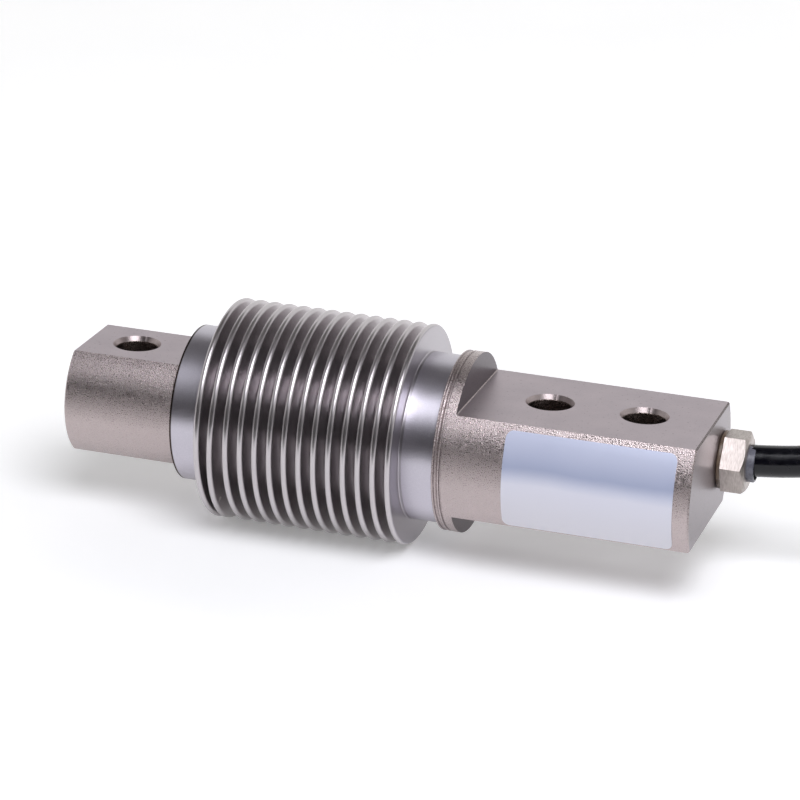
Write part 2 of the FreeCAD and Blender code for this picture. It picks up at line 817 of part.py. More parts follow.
def hank_tie(angle, column_top):
    """Band round one run of the hank, turned to it by the angle, with its lock on the inner column."""
    low = hank_bottom - tie_clearance
    high = column_top + tie_clearance
    corners = [
        (hank_inner_radius - tie_clearance, low),
        (hank_outer_radius + tie_clearance, low),
        (hank_outer_radius + tie_clearance, hank_top + tie_clearance),
        (inner_column_radius + tie_clearance, high),
        (hank_inner_radius - tie_clearance, high),
    ]
    inside = Part.makePolygon([Vector(r, -tie_width / 2, z) for r, z in corners + corners[:1]])
    outside = inside.makeOffset2D(tie_thickness)
    band = Part.Face(outside).cut(Part.Face(inside)).extrude(backwards * tie_width)
    lock_middle = Vector(hank_turn_radius, 0, high + tie_head_size / 2)
    lock = block(lock_middle, (tie_head_size, tie_head_size, tie_head_size))
    tie = band.fuse(lock).removeSplitter()
    tie.rotate(Vector(0, 0, 0), upwards, angle)
    tie.translate(Vector(hank_start_x + tie_share * hank_run, hank_y, 0))
    return tie


def all_pieces():
    """Every piece of the load cell by name."""
    pieces = {
        "spring_element": spring_element(),
        "bellows": bellows(),
        "blank_label": blank_label(),
        "gauge_leads": gauge_leads(),
        "top_bridge_wires": top_bridge_wires(),
        "bottom_bridge_wires": bottom_bridge_wires(),
        "compensation_board": compensation_board(),
        "gland_screw": gland_screw(),
        "gland_seal_ring": gland_seal_ring(),
        "gland_front_washer": gland_washer(thread_end_x - gland_washer_thickness),
        "gland_bush": gland_bush(),
        "gland_rear_washer": gland_washer(gland_bore_bottom_x),
        "cable_collar": cable_collar(),
        "cable_in_gland": cable_in_gland(),
        "cable_tail": cable_tail(),
        "cable_hank": cable_hank(),
        "cable_end": cable_end(),
        "lead_tips": lead_tips(),
    }
    for name, side, level in stations():
        pieces["gauge_" + name] = strain_gauge(side, level)
        pieces["terminal_" + name] = solder_terminal(side, level)
    for place, name in enumerate(("zero_resistor", "span_resistor", "drift_resistor")):
        pieces[name] = trim_resistor(place)
    for number, colour in enumerate(("red", "black", "green", "white")):
        pieces["core_" + colour] = cable_core(number)
    for name in lead_places:
        pieces[name] = tube(lead_points(name), core_diameter)
    tie_edge_x = hank_start_x + tie_share * hank_run + tie_width / 2
    pieces["hank_tie_near"] = hank_tie(-90, last_turn_top)
    pieces["hank_tie_far"] = hank_tie(90, climb_top(tie_edge_x))
    return pieces


os.makedirs("parts", exist_ok=True)
for piece_name, piece in all_pieces().items():
    piece.exportStep("parts/" + piece_name + ".step")
    print(piece_name, len(piece.Solids), "solid", piece.isValid(), round(piece.Volume, 3), "mm3")
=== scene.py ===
"""Finishes, cable and studio of the weighing load cell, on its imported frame, in metres."""
import json
import math

import bmesh
import bpy
from mathutils import Matrix, Vector


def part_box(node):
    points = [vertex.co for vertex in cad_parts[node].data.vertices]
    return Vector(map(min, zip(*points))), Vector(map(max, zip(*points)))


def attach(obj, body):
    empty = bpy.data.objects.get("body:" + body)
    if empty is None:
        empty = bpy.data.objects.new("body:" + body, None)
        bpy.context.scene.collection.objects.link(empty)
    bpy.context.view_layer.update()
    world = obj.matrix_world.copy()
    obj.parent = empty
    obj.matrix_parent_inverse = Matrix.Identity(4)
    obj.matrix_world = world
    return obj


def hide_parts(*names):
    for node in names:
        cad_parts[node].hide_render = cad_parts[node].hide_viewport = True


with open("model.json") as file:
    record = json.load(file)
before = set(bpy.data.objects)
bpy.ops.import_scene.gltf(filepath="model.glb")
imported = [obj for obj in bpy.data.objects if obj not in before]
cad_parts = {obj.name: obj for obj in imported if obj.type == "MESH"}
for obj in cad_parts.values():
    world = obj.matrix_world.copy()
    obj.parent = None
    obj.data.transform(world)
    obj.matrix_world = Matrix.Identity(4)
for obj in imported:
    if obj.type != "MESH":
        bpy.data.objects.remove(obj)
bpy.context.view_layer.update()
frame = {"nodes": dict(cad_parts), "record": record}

MM = 0.001
BODY = "root"

# The bar, as the frame has it
MOUNTS = {mount["name"]: mount for mount in frame["record"]["mounts"]}
HOLE_RADIUS = MOUNTS["load_bore"]["dims"]["r_mm"] * MM
HOLE_SPACING = MOUNTS["mounting_bolts"]["dims"]["spacing_x_mm"] * MM
HOLE_PLACES = [MOUNTS["load_bore"]["pos_m"][0], -HOLE_SPACING / 2, HOLE_SPACING / 2]
FLAT_HEIGHT = MOUNTS["upper_mounting_face"]["pos_m"][2]
AXIS_HEIGHT = FLAT_HEIGHT / 2
SHOULDER_X = -23.1 * MM
BODY_END_X = 22 * MM

# The bellows
CREST_COUNT = 14
CREST_PITCH = 2.87 * MM
CREST_WIDTH = 1.2 * MM
FIRST_CREST_X = -71.11 * MM
LAST_CREST_X = FIRST_CREST_X + (CREST_COUNT - 1) * CREST_PITCH
CREST_RADIUS = 21 * MM
ROOT_RADIUS = 14.9 * MM
BODY_CUFF_RADIUS = 15.9 * MM
BELLOWS_WALL = 0.2 * MM
CUFF_FILLET = 0.25 * MM
BELLOWS_SIDES = 144
ROUND_STEPS = 10
INSIDE_STEPS = 4
SHARP_ANGLE = math.radians(40)

# Two convolutions that are pinched together at the bottom, with a scuff beside them
PINCH_ANGLE = math.radians(-80)
PINCH_REACH = math.radians(115)
PINCH_SHIFTS = {0: 0.25 * MM, 1: -0.85 * MM}
SCUFF_PLACE = (-68.1 * MM, -14.7 * MM, -3.2 * MM)
SCUFF_SIZE = 1.4 * MM

# The cable, with the control points of its route from the gland to the hank in millimetres
CABLE_DIAMETER = 6 * MM
CABLE_ROUTE = [
    (23.2, 9.85, 10.2),
    (33.2, 9.95, 10.9),
    (43.3, 10.85, 12.8),
    (54.2, 13.25, 13.12),
    (65.0, 16.75, 13.0),
    (77.7, 18.2, 11.8),
    (90.0, 18.0, 11.2),
]
CABLE_ROUNDNESS = 6
CABLE_STEPS = 5

# The hank of the cable's unseen length, and on which share of a run a turn changes its radius or height
HANK_TURN_RADIUS = 18 * MM
HANK_TURN_PITCH = 6.1 * MM
HANK_LAYERS = 4
FOLD_POINTS = 8
RUN_POINTS = 7
CROSSING_SHARES = (1 / 6, 1 / 2)
DESCENT_SHARES = (1 / 2, 5 / 6)
CLIMB_SHARES = (0, 1)

# The camera
VIEW_MIDDLE = (-0.0375, -0.0018, 0.0169)
VIEW_DISTANCE = 0.6524
VIEW_AZIMUTH = math.radians(16.678)
VIEW_ELEVATION = math.radians(19.765)
VIEW_ROLL = math.radians(2.398)
VIEW_LENS = 156.8

# The floor, which glows less near the object so that its shadow stays
FLOOR_HEIGHT = -11.1 * MM
FLOOR_SIZE = 8.0
NEAR_GLOW = 0.22
FAR_GLOW = 0.50
GLOW_START = 0.05
GLOW_END = 0.16

# The lights
WORLD_STRENGTH = 0.9
KEY_DIRECTION = (0.29, -0.53, 0.82)
KEY_DISTANCE = 0.45
KEY_SIZE = (0.30, 0.27)
KEY_POWER = 1.85
KEY_COLOUR = (0.94, 0.95, 1.0)

# The cards that the metal reflects: a large one overhead, one as wide in front and a low one close by
CARD_HALF_WIDTH = 1.5
CARD_FRONT = -1.5
CARD_BACK = 0.9
CARD_TOP = 0.95
LOW_CARD_HALF_WIDTH = 0.45
LOW_CARD_FRONT = -0.12
LOW_CARD_TOP = 0.062

# The range that noise mostly keeps to, and the edge of a ragged spot
NOISE_LOW = 0.3
NOISE_HIGH = 0.7
SPOT_EDGE = (0.3, 0.4)

# A quarter of a turn of a shader's drawn-out highlights
QUARTER_TURN = 0.25

# Faces of the plated bar, told apart by their normals and places
FLAT_NORMAL = 0.99
FLAT_MARGIN = 0.1 * MM
END_NORMAL = 0.9
SHOULDER_MARGIN = 0.15 * MM
BEVEL_NORMAL = 0.7
BEVEL_SPREAD = 0.15
BEVEL_RISE = 0.45
BEVEL_LENGTH = 1 * MM
BORE_MARGIN = 0.05 * MM
CHAMFER_MIDDLE = 0.3 * MM
CHAMFER_SPREAD = 0.25 * MM

# Plated steel
BLAST_GRAIN = 5400
PIT_SCALE = 5200
PIT_DEPTH = 0.06 * MM
MACHINED_RELIEF = 0.12
MILL_CLOUD = 160
SPECK_SCALE = 1700
SPECK_RANGE = (0.63, 0.69)
SPECK_STRENGTH = 0.45
SIDE_ROUGHNESS = (0.255, 0.315)
MACHINED_ROUGHER = 0.105
END_SMOOTHER = 0.06
SIDE_ANISOTROPY = 0.62

# Bellows steel
STEEL_GRAIN = 5200
LAST_FACE_MIDDLE = 0.7 * CREST_WIDTH
LAST_FACE_SPREAD = 0.3 * CREST_WIDTH
RIM_START = 0.25 * MM
RIM_END = 0.45 * MM
SCUFF_GRAIN = 1800
FOLD_ROUGHNESS = (0.305, 0.325)
CUFF_ROUGHER = 0.045
CUFF_RELIEF = 0.02 * MM

# Label film
LABEL_CLOUD = 60
LABEL_DRIFT = 0.15
LABEL_SKIN = 900
LABEL_RELIEF = 0.002 * MM

# Plain metals, plastics and rubber
DRAWN_SPREAD = 0.08
DRAWN_RELIEF = 0.006 * MM
SKIN_SCALE = 700
SKIN_SPREAD = 0.06
SKIN_RELIEF = 0.01 * MM

# Paper and cloth of the studio
PAPER_FIBRES = 30
CLOTH_WEAVE = 200


def make_camera():
    """The camera of the photograph: a long lens, turned a little about its own axis."""
    across = math.cos(VIEW_ELEVATION)
    back = Vector((
        math.sin(VIEW_AZIMUTH) * across,
        -math.cos(VIEW_AZIMUTH) * across,
        math.sin(VIEW_ELEVATION),
    ))
    turn = back.to_track_quat("Z", "Y").to_matrix() @ Matrix.Rotation(VIEW_ROLL, 3, "Z")
    lens = bpy.data.cameras.new("camera")
    lens.lens = VIEW_LENS
    camera = bpy.data.objects.new("camera", lens)
    place = Vector(VIEW_MIDDLE) + back * VIEW_DISTANCE
    camera.matrix_world = Matrix.Translation(place) @ turn.to_4x4()
    bpy.context.collection.objects.link(camera)
    bpy.context.scene.camera = camera


def hank_turns():
    """Radius and height of each turn at its start, its far end and its near end, and where they change."""
    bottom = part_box("cable_hank")[0][2] + CABLE_DIAMETER / 2
    layers = [bottom + HANK_TURN_PITCH * layer for layer in range(HANK_LAYERS + 1)]
    outer = [(HANK_TURN_RADIUS + HANK_TURN_PITCH, height) for height in layers]
    inner = [(HANK_TURN_RADIUS, height) for height in layers]
    turns = [
        (outer[layer], outer[layer], outer[layer - 1], DESCENT_SHARES)
        for layer in range(HANK_LAYERS - 1, 0, -1)
    ]
    turns.append((outer[0], outer[0], inner[0], CROSSING_SHARES))
    turns += [
        (inner[layer], inner[layer + 1], inner[layer + 1], CLIMB_SHARES)
        for layer in range(HANK_LAYERS)
    ]
    return turns


def run_points(start_x, end_x, middle_y, side, before, after, shares):
    """Control points of a straight run, on which the turn changes its radius and height."""
    points = []
    for number in range(RUN_POINTS):
        share = number / (RUN_POINTS - 1)
        changed = min(max((share - shares[0]) / (shares[1] - shares[0]), 0.0), 1.0)
        radius, height = (old + (new - old) * changed for old, new in zip(before, after))
        points.append((start_x + (end_x - start_x) * share, middle_y + side * radius, height))
    return points


def fold_points(middle_x, middle_y, side, radius, height):
    """Control points of a round end, on the tangents of its half circle."""
    step = math.pi / FOLD_POINTS
    reach = side * radius / math.cos(step / 2)
    angles = [(number + 0.5) * step for number in range(FOLD_POINTS)]
    return [(middle_x + reach * math.sin(a), middle_y + reach * math.cos(a), height) for a in angles]


def hank_points():
    """Control points of the hank: outer turns from the top down, inner turns upwards, the end on top."""
    low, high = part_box("cable_hank")
    outer_radius = HANK_TURN_RADIUS + HANK_TURN_PITCH + CABLE_DIAMETER / 2
    start_x = low[0] + outer_radius
    end_x = high[0] - outer_radius
    middle_y = (low[1] + high[1]) / 2
    cable_end_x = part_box("cable_end")[0][0]
    margin = math.tan(math.pi / FOLD_POINTS / 2)
    turns = hank_turns()
    far_start_x = CABLE_ROUTE[-1][0] * MM
    points = []
    for number, (begin, far, near, shares) in enumerate(turns):
        far_end_x = end_x - margin * far[0]
        points += run_points(far_start_x, far_end_x, middle_y, 1, begin, far, CLIMB_SHARES)
        points += fold_points(end_x, middle_y, 1, *far)
        is_last = number == len(turns) - 1
        far_start_x = start_x + margin * near[0]
        near_end_x = cable_end_x if is_last else far_start_x
        points += run_points(far_end_x, near_end_x, middle_y, -1, far, near, shares)
        if not is_last:
            points += fold_points(start_x, middle_y, -1, *near)
    # The first point is where the route from the gland ends
    return points[1:]


def make_cable():
    """The whole cable on one smooth line: out of the gland, over to the hank and round its turns."""
    curve = bpy.data.curves.new("cable", "CURVE")
    curve.dimensions = "3D"
    curve.bevel_depth = 1.0
    curve.bevel_resolution = CABLE_ROUNDNESS
    curve.resolution_u = CABLE_STEPS
    curve.use_fill_caps = True
    points = [Vector(point) * MM for point in CABLE_ROUTE] + [Vector(point) for point in hank_points()]
    spline = curve.splines.new("NURBS")
    spline.points.add(len(points) - 1)
    for control, point in zip(spline.points, points):
        control.co = (*point, 1.0)
        control.radius = CABLE_DIAMETER / 2
    spline.order_u = 3
    spline.use_endpoint_u = True
    cable = bpy.data.objects.new("cable", curve)
    bpy.context.collection.objects.link(cable)
    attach(cable, BODY)
    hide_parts("cable_tail", "cable_hank", "cable_end")
    return cable


def arc(middle, radius, start, end, steps):
    """Points of a round stretch of an outline, from one angle in degrees to another."""
    angles = [math.radians(start + (end - start) * step / steps) for step in range(steps + 1)]
    return [(middle[0] + radius * math.cos(a), middle[1] + radius * math.sin(a)) for a in angles]


def bellows_outline(depth, steps):
    """One face of the bellows wall, this deep in it: points of x and radius, and their convolution."""
    crest_round = CREST_WIDTH / 2
    valley_round = (CREST_PITCH - CREST_WIDTH) / 2
    crest_middle = CREST_RADIUS - crest_round
    valley_middle = ROOT_RADIUS + valley_round
    low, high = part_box("bellows")
    first_flank = FIRST_CREST_X - crest_round
    last_flank = LAST_CREST_X + crest_round
    load_corner = (first_flank - CUFF_FILLET, ROOT_RADIUS + CUFF_FILLET)
    body_corner = (last_flank + CUFF_FILLET, BODY_CUFF_RADIUS + CUFF_FILLET)
    points = [(low[0], ROOT_RADIUS - depth)]
    points += arc(load_corner, CUFF_FILLET + depth, -90, 0, steps)
    outline = [(point, None) for point in points]
    for number in range(CREST_COUNT):
        crest_x = FIRST_CREST_X + number * CREST_PITCH
        crest = arc((crest_x, crest_middle), crest_round - depth, 180, 0, steps)
        outline += [(point, number) for point in crest]
        if number < CREST_COUNT - 1:
            valley_x = crest_x + CREST_PITCH / 2
            valley = arc((valley_x, valley_middle), valley_round + depth, 180, 360, steps)
            outline += [(point, None) for point in valley]
    points = arc(body_corner, CUFF_FILLET + depth, 180, 270, steps)
    points.append((high[0], BODY_CUFF_RADIUS - depth))
    return outline + [(point, None) for point in points]


def pinch(number, angle):
    """How far a convolution is bent along the bar at this angle round it."""
    away = abs(math.remainder(angle - PINCH_ANGLE, 2 * math.pi))
    if away > PINCH_REACH:
        return 0.0
    return PINCH_SHIFTS.get(number, 0.0) * (1 + math.cos(math.pi * away / PINCH_REACH)) / 2


def make_bellows():
    """The bellows as one closed thin wall, with the two pinched convolutions."""
    outside = bellows_outline(0.0, ROUND_STEPS)
    inside = bellows_outline(BELLOWS_WALL, INSIDE_STEPS)
    outline = outside + inside[::-1]
    mesh_maker = bmesh.new()
    rings = []
    for side in range(BELLOWS_SIDES):
        angle = 2 * math.pi * side / BELLOWS_SIDES
        ring = []
        for (x, radius), number in outline:
            bent_x = x + pinch(number, angle)
            place = (bent_x, -radius * math.cos(angle), AXIS_HEIGHT + radius * math.sin(angle))
            ring.append(mesh_maker.verts.new(place))
        rings.append(ring)
    for side, ring in enumerate(rings):
        beside = rings[(side + 1) % BELLOWS_SIDES]
        for place in range(len(outline)):
            following = (place + 1) % len(outline)
            face = (ring[place], beside[place], beside[following], ring[following])
            mesh_maker.faces.new(face).smooth = True
    bmesh.ops.recalc_face_normals(mesh_maker, faces=mesh_maker.faces)
    mesh = bpy.data.meshes.new("bellows_skin")
    mesh_maker.to_mesh(mesh)
    mesh_maker.free()
    mesh.set_sharp_from_angle(angle=SHARP_ANGLE)
    bellows = bpy.data.objects.new("bellows_skin", mesh)
    bpy.context.collection.objects.link(bellows)
    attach(bellows, BODY)
    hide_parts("bellows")
    return bellows


class Finish:
    """A material being made: its nodes, its main shader and places in the row frame."""

    def __init__(self, name, **constants):
        self.material = bpy.data.materials.new(name)
        self.material.use_nodes = True
        self.nodes = self.material.node_tree.nodes
        self.links = self.material.node_tree.links
        self.shader = self.nodes["Principled BSDF"]
        self.give(**constants)
        self.place = self.nodes.new("ShaderNodeTexCoord").outputs["Object"]

    def feed(self, socket, value):
        """Gives a socket a value, or a link where the value is another node's output."""
        if isinstance(value, bpy.types.NodeSocket):
            self.links.new(value, socket)
        else:
            socket.default_value = value

    def give(self, **sockets):
        """Feeds the main shader's sockets, with _ for each space in their names."""
        for socket, value in sockets.items():
            self.feed(self.shader.inputs[socket.replace("_", " ")], value)

    def parts(self, vector):
        """The three parts of a vector."""
        split = self.nodes.new("ShaderNodeSeparateXYZ")
        self.feed(split.inputs[0], vector)
        return split.outputs[0], split.outputs[1], split.outputs[2]

    def vector(self, x, y, z):
        """A vector of three numbers."""
        joined = self.nodes.new("ShaderNodeCombineXYZ")
        for socket, value in zip(joined.inputs, (x, y, z)):
            self.feed(socket, value)
        return joined.outputs[0]

    def sum(self, operation, *numbers):
        """One step of arithmetic."""
        step = self.nodes.new("ShaderNodeMath")
        step.operation = operation
        for socket, number in zip(step.inputs, numbers):
            self.feed(socket, number)
        return step.outputs[0]

    def either(self, first, *others):
        """1 where any of these masks is 1."""
        for mask in others:
            first = self.sum("MAXIMUM", first, mask)
        return first

    def both(self, first, *others):
        """The product of these masks, 1 where all of them are 1."""
        for mask in others:
            first = self.sum("MULTIPLY", first, mask)
        return first

    def length(self, across, up):
        """The length of a slanting line from its two parts."""
        squares = self.sum("ADD", self.sum("POWER", across, 2), self.sum("POWER", up, 2))
        return self.sum("SQRT", squares)

    def distance(self, middle):
        """How far a point is from a place."""
        away = self.nodes.new("ShaderNodeVectorMath")
        away.operation = "DISTANCE"
        self.feed(away.inputs[0], self.place)
        self.feed(away.inputs[1], middle)
        return away.outputs["Value"]

    def span(self, value, start, end, low=0.0, high=1.0):
        """A value carried smoothly from one range to another."""
        carried = self.nodes.new("ShaderNodeMapRange")
        carried.interpolation_type = "SMOOTHSTEP"
        for socket, number in zip(carried.inputs, (value, start, end, low, high)):
            self.feed(socket, number)
        return carried.outputs[0]

    def vary(self, noise, low, high):
        """A number that noise carries from low to high."""
        return self.span(noise, NOISE_LOW, NOISE_HIGH, low, high)

    def spot(self, middle, size, cloud):
        """A ragged spot round a place: 1 inside it, with its edge broken up by noise."""
        near = self.span(self.distance(middle), 0.0, size, 1.0, 0.0)
        return self.span(self.sum("MULTIPLY", near, cloud), *SPOT_EDGE)

    def noise(self, scale, detail=2.0, roughness=0.5, place=None):
        """Cloudy noise, its grain about one over scale metres."""
        cloud = self.nodes.new("ShaderNodeTexNoise")
        self.feed(cloud.inputs["Vector"], place or self.place)
        cloud.inputs["Scale"].default_value = scale
        cloud.inputs["Detail"].default_value = detail
        cloud.inputs["Roughness"].default_value = roughness
        return cloud.outputs["Fac"]

    def pits(self, scale):
        """Small round pits side by side, each about one over scale metres wide: 0 in its middle."""
        cells = self.nodes.new("ShaderNodeTexVoronoi")
        self.feed(cells.inputs["Vector"], self.place)
        cells.inputs["Scale"].default_value = scale
        return cells.outputs["Distance"]

    def ramp(self, value, *stops):
        """Colours along a value, each stop a place from 0 to 1 and a colour."""
        band = self.nodes.new("ShaderNodeValToRGB")
        self.feed(band.inputs[0], value)
        while len(band.color_ramp.elements) < len(stops):
            band.color_ramp.elements.new(0.5)
        for element, (place, colour) in zip(band.color_ramp.elements, stops):
            element.position = place
            element.color = (*colour, 1.0)
        return band.outputs[0]

    def mottle(self, noise, dark, light):
        """A colour that noise carries from dark to light."""
        return self.ramp(noise, (NOISE_LOW, dark), (NOISE_HIGH, light))

    def lay_over(self, colour, *layers):
        """A colour with others laid over it in turn, each where its mask is 1."""
        for mask, paint in layers:
            mixed = self.nodes.new("ShaderNodeMix")
            mixed.data_type = "RGBA"
            self.feed(mixed.inputs["Factor"], mask)
            self.feed(mixed.inputs[6], colour)
            self.feed(mixed.inputs[7], paint if isinstance(paint, bpy.types.NodeSocket) else (*paint, 1.0))
            colour = mixed.outputs[2]
        return colour

    def bump(self, height, distance):
        """A normal from a height, with the depth of its relief in metres."""
        relief = self.nodes.new("ShaderNodeBump")
        relief.inputs["Strength"].default_value = 1.0
        relief.inputs["Distance"].default_value = distance
        self.feed(relief.inputs["Height"], height)
        return relief.outputs[0]

    def turn_lines(self):
        """Gives the shader turning lines round the bar, which draw its highlights out along it."""
        around = self.nodes.new("ShaderNodeTangent")
        around.direction_type = "RADIAL"
        around.axis = "X"
        self.give(Tangent=around.outputs[0], Anisotropic_Rotation=QUARTER_TURN)

    def wear(self, *nodes):
        """Puts the finish on CAD nodes, by name, or on pieces of the scene."""
        for node in nodes:
            piece = frame["nodes"][node] if isinstance(node, str) else node
            piece.data.materials.clear()
            piece.data.materials.append(self.material)


def bar_faces(finish):
    """Masks of the bar: all its flats and ends, its ends, its shoulder and its end's upper bevel."""
    normal = finish.parts(finish.nodes.new("ShaderNodeNewGeometry").outputs["Normal"])
    place = finish.parts(finish.place)
    upright = finish.sum("GREATER_THAN", finish.sum("ABSOLUTE", normal[2]), FLAT_NORMAL)
    height = finish.sum("ABSOLUTE", finish.sum("SUBTRACT", place[2], AXIS_HEIGHT))
    low = finish.sum("LESS_THAN", height, FLAT_HEIGHT / 2 + FLAT_MARGIN)
    along = finish.sum("ABSOLUTE", normal[0])
    end = finish.sum("GREATER_THAN", along, END_NORMAL)
    flat = finish.either(finish.both(upright, low), end)
    shoulder = finish.both(end, finish.sum("COMPARE", place[0], SHOULDER_X, SHOULDER_MARGIN))
    slanting = finish.sum("COMPARE", along, BEVEL_NORMAL, BEVEL_SPREAD)
    at_end = finish.sum("GREATER_THAN", place[0], BODY_END_X - BEVEL_LENGTH)
    rising = finish.sum("GREATER_THAN", normal[2], BEVEL_RISE)
    return flat, end, shoulder, finish.both(slanting, at_end, rising)


def bolt_holes(finish):
    """Masks of the three bolt holes: their bores and their chamfers."""
    x, y = finish.parts(finish.place)[:2]
    bores = []
    chamfers = []
    for hole_x in HOLE_PLACES:
        away = finish.length(finish.sum("SUBTRACT", x, hole_x), y)
        bores.append(finish.sum("LESS_THAN", away, HOLE_RADIUS + BORE_MARGIN))
        chamfers.append(finish.sum("COMPARE", away, HOLE_RADIUS + CHAMFER_MIDDLE, CHAMFER_SPREAD))
    return finish.either(*bores), finish.either(*chamfers)


def plated_steel():
    """Nickel plate on steel: blasted round sides, smoother flats, ends and chamfers, dark bores that are
    partly painted shade, and painted shade on the ends, shoulder and upper bevel.
    """
    finish = Finish("plated_steel", Metallic=1.0)
    finish.turn_lines()
    flat, end, shoulder, bevel = bar_faces(finish)
    bore, chamfer = bolt_holes(finish)
    machined = finish.either(flat, chamfer)
    grain = finish.noise(BLAST_GRAIN, roughness=0.6)
    cloud = finish.noise(MILL_CLOUD, detail=3.0)
    specks = finish.span(finish.noise(SPECK_SCALE, detail=4.0), *SPECK_RANGE)
    blasted = finish.mottle(grain, (0.42, 0.36, 0.357), (0.535, 0.459, 0.455))
    milled = finish.mottle(cloud, (0.395, 0.34, 0.368), (0.44, 0.38, 0.406))
    # The bores' rough metal is darker than the sides, and their colour is darkened further as painted shade
    # of the recess
    bore_colour_and_shade = finish.mottle(grain, (0.14, 0.11, 0.10), (0.30, 0.25, 0.23))
    colour = finish.lay_over(
        blasted,
        (flat, milled),
        # Painted shade: the end faces are coloured darker than the flats of the same plate
        (end, (0.30, 0.266, 0.285)),
        (finish.both(specks, flat, SPECK_STRENGTH), (0.14, 0.11, 0.11)),
        # Painted shade: the shoulder face is coloured nearly black
        (shoulder, (0.10, 0.08, 0.092)),
        # Painted shade: only the upward-facing bevel at the body end is coloured dark
        (bevel, (0.15, 0.12, 0.12)),
        (bore, bore_colour_and_shade),
    )
    roughness = finish.vary(grain, *SIDE_ROUGHNESS)
    roughness = finish.sum("MULTIPLY_ADD", machined, MACHINED_ROUGHER, roughness)
    roughness = finish.sum("MULTIPLY_ADD", end, -END_SMOOTHER, roughness)
    depth = finish.span(machined, 0.0, 1.0, 1.0, MACHINED_RELIEF)
    relief = finish.sum("MULTIPLY", finish.pits(PIT_SCALE), depth)
    finish.give(
        Base_Color=colour,
        Roughness=roughness,
        Anisotropic=finish.span(end, 0.0, 1.0, SIDE_ANISOTROPY, 0.0),
        Normal=finish.bump(relief, PIT_DEPTH),
    )
    finish.wear("spring_element")


def bellows_steel(bellows):
    """Satin stainless steel with fine lines round it, a dark rim at the load end that is partly a dark joint
    and partly painted shade, the last fold's face painted darker as shade, and a scuffed spot.
    """
    finish = Finish("bellows_steel", Metallic=1.0, Anisotropic=0.5)
    finish.turn_lines()
    x, y, z = finish.parts(finish.place)
    radius = finish.length(y, finish.sum("SUBTRACT", z, AXIS_HEIGHT))
    rings = finish.noise(STEEL_GRAIN, place=finish.vector(x, radius, 0.0))
    grain = finish.noise(STEEL_GRAIN, roughness=0.6)
    folds = finish.mottle(grain, (0.54, 0.506, 0.52), (0.59, 0.556, 0.57))
    ends = finish.mottle(grain, (0.54, 0.515, 0.575), (0.60, 0.575, 0.635))
    load_cuff = finish.sum("LESS_THAN", x, FIRST_CREST_X - CREST_WIDTH)
    body_cuff = finish.sum("GREATER_THAN", x, LAST_CREST_X + CREST_WIDTH)
    cuff = finish.either(load_cuff, body_cuff)
    # Painted shade: the face of the last fold towards the body cuff is coloured darker than the other folds
    last_face = finish.sum("COMPARE", x, LAST_CREST_X + LAST_FACE_MIDDLE, LAST_FACE_SPREAD)
    # The dark rim at the load end is partly the dark line of the joint and partly painted shadow of the gap
    # there
    rim_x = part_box("bellows")[0][0]
    rim = finish.span(x, rim_x + RIM_START, rim_x + RIM_END, 1.0, 0.0)
    scuff = finish.spot(SCUFF_PLACE, SCUFF_SIZE, finish.noise(SCUFF_GRAIN, detail=3.0))
    steel = finish.lay_over(
        folds,
        (last_face, (0.42, 0.395, 0.425)),
        (cuff, ends),
        (rim, (0.05, 0.035, 0.03)),
        (scuff, (0.85, 0.82, 0.80)),
    )
    formed = finish.vary(rings, *FOLD_ROUGHNESS)
    finish.give(
        Base_Color=steel,
        Roughness=finish.sum("MULTIPLY_ADD", cuff, CUFF_ROUGHER, formed),
        Normal=finish.bump(finish.sum("MULTIPLY", cuff, grain), CUFF_RELIEF),
    )
    finish.wear(bellows)


def label_film():
    """Silver film, bare of print, pale blue in its upper half, with a painted reflection of a dark band
    across it three quarters of the way up.
    """
    finish = Finish("label_film", Metallic=0.2, Roughness=0.3)
    z = finish.parts(finish.place)[2]
    low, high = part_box("blank_label")
    share = finish.span(z, low[2], high[2])
    cloud = finish.sum("SUBTRACT", finish.noise(LABEL_CLOUD), 0.5)
    fade = finish.sum("ADD", share, finish.sum("MULTIPLY", cloud, LABEL_DRIFT))
    # Painted reflection: the colour darkens to a deep blue band three quarters of the way up the film and
    # lightens above it
    blue_and_painted_band = finish.ramp(
        fade,
        (0.0, (0.75, 0.74, 0.80)),
        (0.5, (0.68, 0.68, 0.77)),
        (0.75, (0.43, 0.475, 0.645)),
        (1.0, (0.60, 0.635, 0.80)),
    )
    finish.give(Base_Color=blue_and_painted_band, Normal=finish.bump(finish.noise(LABEL_SKIN), LABEL_RELIEF))
    finish.wear("blank_label")


def drawn_metal(name, light, dark, roughness, nodes, scale=900, stretch=(0.15, 1.0, 1.0), **constants):
    """Plain metal with soft mottling and fine lines, drawn out where the stretch is small."""
    finish = Finish(name, Metallic=1.0, **constants)
    finish.turn_lines()
    drawn = []
    for part, share in zip(finish.parts(finish.place), stretch):
        drawn.append(finish.sum("MULTIPLY", part, share))
    lines = finish.noise(scale, detail=3.0, place=finish.vector(*drawn))
    finish.give(
        Base_Color=finish.mottle(lines, dark, light),
        Roughness=finish.vary(lines, roughness + DRAWN_SPREAD, roughness),
        Normal=finish.bump(lines, DRAWN_RELIEF),
    )
    finish.wear(*nodes)


def soft_plastic(name, light, dark, roughness, nodes, relief=SKIN_RELIEF, **constants):
    """Moulded plastic or rubber with a fine skin."""
    finish = Finish(name, **constants)
    skin = finish.noise(SKIN_SCALE, detail=3.0)
    finish.give(
        Base_Color=finish.mottle(skin, dark, light),
        Roughness=finish.vary(skin, roughness - SKIN_SPREAD, roughness + SKIN_SPREAD),
        Normal=finish.bump(skin, relief),
    )
    finish.wear(*nodes)


